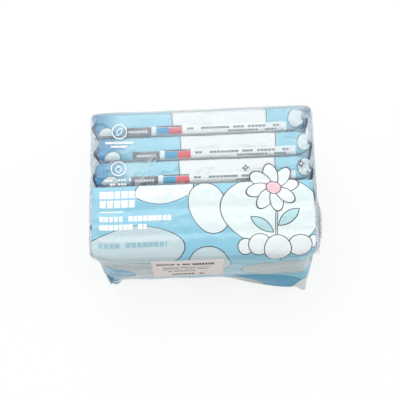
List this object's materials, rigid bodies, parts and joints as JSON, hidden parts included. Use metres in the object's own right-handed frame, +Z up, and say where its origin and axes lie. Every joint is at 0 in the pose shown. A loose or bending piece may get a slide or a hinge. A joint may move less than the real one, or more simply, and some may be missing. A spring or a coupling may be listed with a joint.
{
  "type": "multipack of wet wipes",
  "caption": "Soft film-wrapped bundle of flow-packed wet wipes standing side by side on edge, with gusseted, crimp-sealed ends, a clear window and a price sticker.",
  "frame": {"origin": "middle of the bundle's footprint, on the surface it lies on", "axes": "+X along the packs, from one sealed end to the other; +Y from the front side, which has the price sticker, to the back; +Z up, out of the display side"},
  "size_m": [0.224, 0.162, 0.092],
  "materials": {
    "printed_film": "thin glossy packaging film, clear over the back half of the top and printed sky blue with pale rounded patches elsewhere",
    "pack_film": "opaque laminated film, satin gloss, printed in sky blue and white with thin dark outlines",
    "flap_film": "opaque self-adhesive film, satin",
    "sticker_paper": "matt off-white paper with rows of plain dark bars"
  },
  "bodies": {
    "root": {"overwrap_film": "printed_film", "wipes_pack_1": "pack_film", "wipes_pack_2": "pack_film", "wipes_pack_3": "pack_film", "wipes_pack_4": "pack_film", "wipes_pack_5": "pack_film", "wipes_pack_6": "pack_film", "reseal_flap_1": "flap_film", "reseal_flap_2": "flap_film", "reseal_flap_3": "flap_film", "reseal_flap_4": "flap_film", "reseal_flap_5": "flap_film", "reseal_flap_6": "flap_film", "price_sticker": "sticker_paper"}
  },
  "joints": []
}
